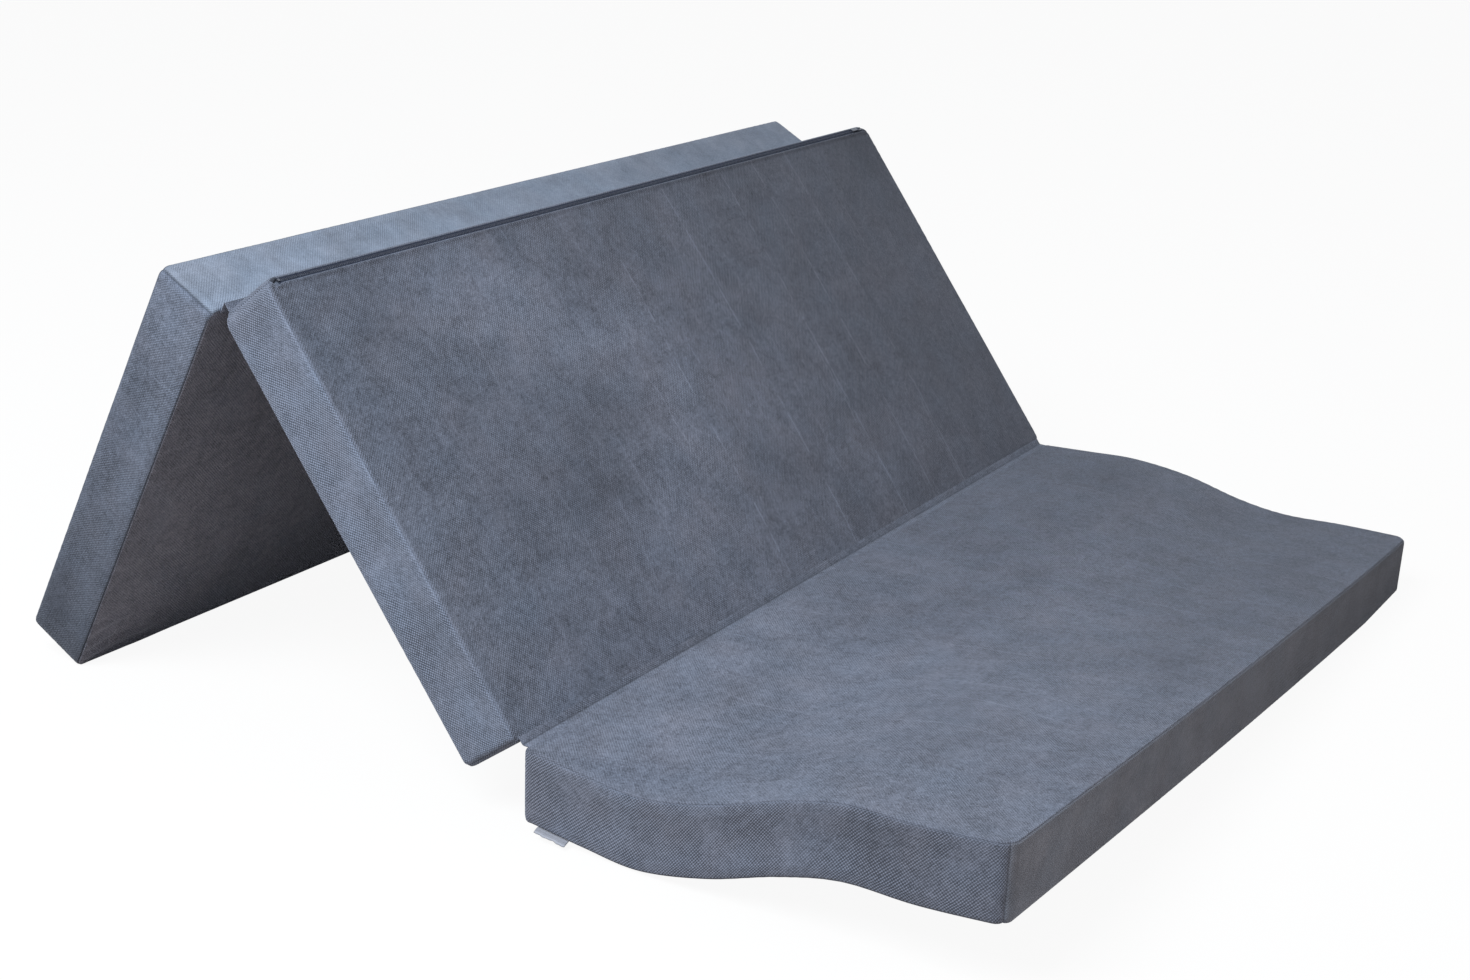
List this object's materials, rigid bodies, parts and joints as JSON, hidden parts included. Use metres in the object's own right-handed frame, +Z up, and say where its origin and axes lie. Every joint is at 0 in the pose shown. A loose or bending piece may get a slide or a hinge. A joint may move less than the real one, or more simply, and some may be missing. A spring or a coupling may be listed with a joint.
{
  "type": "folding mattress",
  "caption": "Foam mattress of joined panels in removable velour covers, standing half folded, with fabric folds and zips.",
  "frame": {"origin": "on the floor, under the middle of the bounding box of the half folded mattress", "axes": "+X along the folds, -Y towards the panel that lies on the floor, +Z up"},
  "size_m": [1.5078, 1.5348, 0.6286],
  "materials": {
    "panel_velour": "ribbed velour, soft nap",
    "band_velour": "ribbed velour, soft nap",
    "foam": "open cell foam, matt",
    "zip_tape": "woven tape",
    "zip_coil": "nylon coil",
    "zip_metal": "painted die casting",
    "label_cloth": "woven satin label, blank"
  },
  "bodies": {
    "front_panel": {"front_foam_core": "foam", "front_top_cloth": "panel_velour", "front_base_cloth": "panel_velour", "front_left_band": "band_velour", "front_right_band": "band_velour", "front_nose_band": "band_velour", "front_fold_band": "band_velour", "front_zip_near_tape": "zip_tape", "front_zip_far_tape": "zip_tape", "front_zip_coil": "zip_coil", "front_zip_left_stop": "zip_metal", "front_zip_right_stop": "zip_metal", "front_fold_strip": "panel_velour", "front_label": "label_cloth"},
    "front_zip_slider": {"front_zip_slider": "zip_metal"},
    "front_zip_pull": {"front_zip_pull": "zip_metal"},
    "middle_panel": {"middle_foam_core": "foam", "middle_top_cloth": "panel_velour", "middle_base_cloth": "panel_velour", "middle_left_band": "band_velour", "middle_right_band": "band_velour", "middle_lower_band": "band_velour", "middle_upper_band": "band_velour", "middle_zip_near_tape": "zip_tape", "middle_zip_far_tape": "zip_tape", "middle_zip_coil": "zip_coil", "middle_zip_left_stop": "zip_metal", "middle_zip_right_stop": "zip_metal", "rear_fold_strip": "panel_velour"},
    "middle_zip_slider": {"middle_zip_slider": "zip_metal"},
    "middle_zip_pull": {"middle_zip_pull": "zip_metal"},
    "rear_panel": {"rear_foam_core": "foam", "rear_top_cloth": "panel_velour", "rear_base_cloth": "panel_velour", "rear_left_band": "band_velour", "rear_right_band": "band_velour", "rear_upper_band": "band_velour", "rear_lower_band": "band_velour", "rear_zip_near_tape": "zip_tape", "rear_zip_far_tape": "zip_tape", "rear_zip_coil": "zip_coil", "rear_zip_left_stop": "zip_metal", "rear_zip_right_stop": "zip_metal"},
    "rear_zip_slider": {"rear_zip_slider": "zip_metal"},
    "rear_zip_pull": {"rear_zip_pull": "zip_metal"}
  },
  "joints": [
    {"name": "front_fold", "type": "hinge", "parent": "front_panel", "child": "middle_panel", "pos_m": [0, -0.11436, 0.117], "axis": [1, 0, 0], "range_deg": [-52.3, 115], "deforming": ["front_fold_strip"]},
    {"name": "rear_fold", "type": "hinge", "parent": "middle_panel", "child": "rear_panel", "pos_m": [0, 0.37208, 0.5714], "axis": [-1, 0, 0], "range_deg": [-114.6, 64], "deforming": ["rear_fold_strip"]},
    {"name": "front_zip_slide", "type": "slide", "parent": "front_panel", "child": "front_zip_slider", "axis": [-1, 0, 0], "range_m": [0, 1.436]},
    {"name": "front_pull_swing", "type": "hinge", "parent": "front_zip_slider", "child": "front_zip_pull", "pos_m": [0.72243, -0.12581, 0.01174], "axis": [0, -0.9258, -0.3781], "range_deg": [0, 175]},
    {"name": "middle_zip_slide", "type": "slide", "parent": "middle_panel", "child": "middle_zip_slider", "axis": [-1, 0, 0], "range_m": [0, 1.436]},
    {"name": "middle_pull_swing", "type": "hinge", "parent": "middle_zip_slider", "child": "middle_zip_pull", "pos_m": [0.72243, 0.28039, 0.62653], "axis": [0, 0.8653, 0.5012], "range_deg": [0, 175]},
    {"name": "rear_zip_slide", "type": "slide", "parent": "rear_panel", "child": "rear_zip_slider", "axis": [-1, 0, 0], "range_m": [0, 1.436]},
    {"name": "rear_pull_swing", "type": "hinge", "parent": "rear_zip_slider", "child": "rear_zip_pull", "pos_m": [0.72243, 0.76543, 0.04862], "axis": [0, 0.094, -0.9956], "range_deg": [0, 175]}
  ]
}
